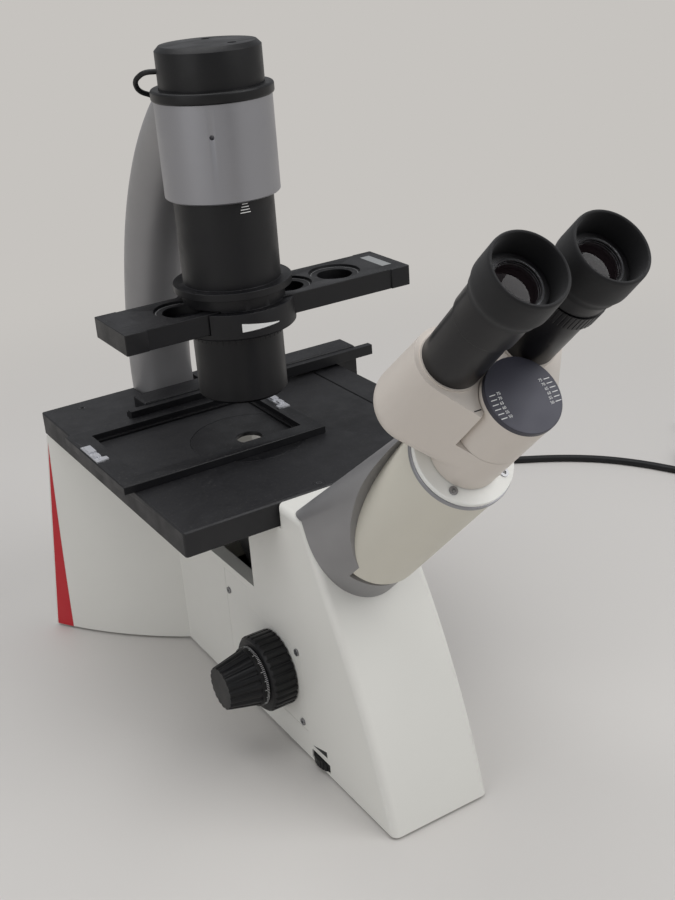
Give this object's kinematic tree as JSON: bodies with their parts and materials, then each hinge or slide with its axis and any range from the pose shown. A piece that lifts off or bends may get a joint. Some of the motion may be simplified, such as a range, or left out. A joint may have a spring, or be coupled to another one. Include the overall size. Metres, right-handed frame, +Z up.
{
  "type": "inverted microscope",
  "caption": "Inverted microscope with a leaning column, slanted binocular head, fixed stage over a nosepiece, and a curved arm that holds the lamp and condenser",
  "frame": {"origin": "on the table, at the middle of the footprint of the stand without its mains lead", "axes": "+X is the user's right, +Y points from the user to the back, +Z is up"},
  "size_m": [0.7236, 0.7109, 0.478],
  "materials": {
    "cream_paint": "satin light paint",
    "white_paint": "satin white paint",
    "grey_paint": "satin grey paint",
    "black_anodised": "matt black anodised aluminium",
    "silver": "brushed aluminium",
    "steel": "brushed steel",
    "brass": "plated brass",
    "black_plastic": "matt black plastic",
    "light_plastic": "matt light plastic",
    "black_rubber": "soft black rubber",
    "lead_rubber": "smooth black sheath",
    "lens_glass": "coated lens glass",
    "front_mirror": "front-surface mirror",
    "light_source": "board with a light source"
  },
  "bodies": {
    "stand": {"front_housing": "cream_paint", "rear_housing": "cream_paint", "base_plate": "steel", "rubber_feet": "black_rubber", "side_covers": "light_plastic", "machine_screws": "steel", "power_inlet": "black_plastic", "lead_connector": "lead_rubber", "mains_lead": "lead_rubber", "mains_lead_coil": "lead_rubber", "mains_plug": "lead_rubber", "stage_plate": "black_anodised", "stage_insert": "black_anodised", "illumination_arm": "grey_paint", "lamp_housing": "silver", "lamp_cap": "black_plastic", "led_module": "light_source", "lamp_lead": "lead_rubber", "tube_collar": "grey_paint", "viewing_tube": "white_paint", "head_flange": "white_paint", "tube_lens": "lens_glass", "folding_mirror": "front_mirror", "focus_bracket": "silver", "pupil_dial": "black_plastic", "y_guide": "black_anodised"},
    "coarse_drive": {"coarse_knobs": "black_plastic", "focus_tube": "steel"},
    "fine_drive": {"fine_knobs": "black_plastic", "focus_shaft": "steel"},
    "nosepiece_carrier": {"nosepiece_carrier": "black_anodised"},
    "turret": {"nosepiece_turret": "black_anodised", "objectives": "brass"},
    "stage_carriage": {"y_carriage": "black_anodised", "x_guide_bar": "black_anodised"},
    "specimen_holder": {"x_rail": "black_anodised", "specimen_frame": "black_anodised"},
    "clip_left": {"frame_clip_left": "steel"},
    "clip_right": {"frame_clip_right": "steel"},
    "x_drive": {"x_drive_knob": "black_plastic"},
    "y_drive": {"y_drive_knob": "black_plastic"},
    "condenser": {"condenser_head": "black_anodised", "condenser_barrel": "black_anodised", "condenser_lens": "lens_glass"},
    "aperture": {"aperture_ring": "black_anodised"},
    "slider": {"phase_slider": "black_anodised", "phase_rings": "lens_glass"},
    "left_head": {"prism_housing_left": "cream_paint", "eyepiece_sleeve_left": "cream_paint", "eyepiece_left": "black_plastic", "eyecup_left": "black_rubber", "eye_lens_left": "lens_glass"},
    "right_head": {"prism_housing_right": "cream_paint", "eyepiece_sleeve_right": "cream_paint", "eyepiece_right": "black_plastic", "eyecup_right": "black_rubber", "eye_lens_right": "lens_glass"},
    "diopter": {"diopter_ring": "black_plastic"},
    "wheel": {"brightness_wheel": "black_plastic"},
    "switch": {"power_switch": "black_plastic"}
  },
  "joints": [
    {"name": "coarse_focus", "type": "hinge", "parent": "stand", "child": "coarse_drive", "pos_m": [-0.0206, 0.00091, 0.0605], "axis": [1, 0, 0], "range_deg": [-39, 48]},
    {"name": "fine_focus", "type": "hinge", "parent": "stand", "child": "fine_drive", "pos_m": [-0.0206, 0.00091, 0.0605], "axis": [1, 0, 0], "continuous": true},
    {"name": "nosepiece_lift", "type": "slide", "parent": "stand", "child": "nosepiece_carrier", "axis": [0, 0, 1], "range_m": [-0.004, 0.005]},
    {"name": "turret_turn", "type": "hinge", "parent": "nosepiece_carrier", "child": "turret", "pos_m": [-0.0206, 0.10723, 0.14982], "axis": [0, 0.2588, 0.9659], "continuous": true},
    {"name": "y_travel", "type": "slide", "parent": "stand", "child": "stage_carriage", "axis": [0, 1, 0], "range_m": [-0.06, 0.012]},
    {"name": "x_travel", "type": "slide", "parent": "stage_carriage", "child": "specimen_holder", "axis": [1, 0, 0], "range_m": [-0.03, 0.09]},
    {"name": "y_drive_turn", "type": "hinge", "parent": "stage_carriage", "child": "y_drive", "pos_m": [0.1204, 0.18491, 0.161], "axis": [0, 0, 1], "range_deg": [-751, 151]},
    {"name": "x_drive_turn", "type": "hinge", "parent": "stage_carriage", "child": "x_drive", "pos_m": [0.1204, 0.18491, 0.14], "axis": [0, 0, 1], "range_deg": [-385, 1152]},
    {"name": "clip_left_turn", "type": "hinge", "parent": "specimen_holder", "child": "clip_left", "pos_m": [-0.12915, 0.13491, 0.2055], "axis": [0, 0, 1], "range_deg": [-25, 0], "stiffness_Nm_per_rad": 0.02, "springref_deg": 5.73},
    {"name": "clip_right_turn", "type": "hinge", "parent": "specimen_holder", "child": "clip_right", "pos_m": [0.02235, 0.13491, 0.2055], "axis": [0, 0, 1], "range_deg": [0, 25], "stiffness_Nm_per_rad": 0.02, "springref_deg": -5.73},
    {"name": "condenser_height", "type": "slide", "parent": "stand", "child": "condenser", "axis": [0, 0, 1], "range_m": [-0.008, 0.03]},
    {"name": "aperture_turn", "type": "hinge", "parent": "condenser", "child": "aperture", "pos_m": [-0.0206, 0.08791, 0.285], "axis": [0, 0, 1], "range_deg": [-35, 35]},
    {"name": "slider_shift", "type": "slide", "parent": "condenser", "child": "slider", "axis": [1, 0, 0], "range_m": [-0.083, 0.0415]},
    {"name": "left_pupil", "type": "hinge", "parent": "stand", "child": "left_head", "pos_m": [-0.0206, -0.19925, 0.30216], "axis": [0, -0.7071, 0.7071], "range_deg": [0, 35]},
    {"name": "right_pupil", "type": "hinge", "parent": "stand", "child": "right_head", "pos_m": [-0.0206, -0.19925, 0.30216], "axis": [0, -0.7071, 0.7071], "range_deg": [-35, 0]},
    {"name": "diopter_turn", "type": "hinge", "parent": "right_head", "child": "diopter", "pos_m": [0.00375, -0.23149, 0.3774], "axis": [0, -0.7071, 0.7071], "range_deg": [-120, 120]},
    {"name": "brightness_turn", "type": "hinge", "parent": "stand", "child": "wheel", "pos_m": [-0.0436, -0.05009, 0.0076], "axis": [0, 0, 1], "range_deg": [-135, 135]},
    {"name": "power_rock", "type": "hinge", "parent": "stand", "child": "switch", "pos_m": [-0.0026, 0.26741, 0.044], "axis": [1, 0, 0], "range_deg": [-8, 8]}
  ],
  "couplings": [
    {"joint": "coarse_focus", "follows": "nosepiece_lift", "rad_per_m": 166.67},
    {"joint": "y_drive_turn", "follows": "y_travel", "rad_per_m": 218.34},
    {"joint": "x_drive_turn", "follows": "x_travel", "rad_per_m": 223.21},
    {"joint": "right_pupil", "follows": "left_pupil", "ratio": -1}
  ]
}
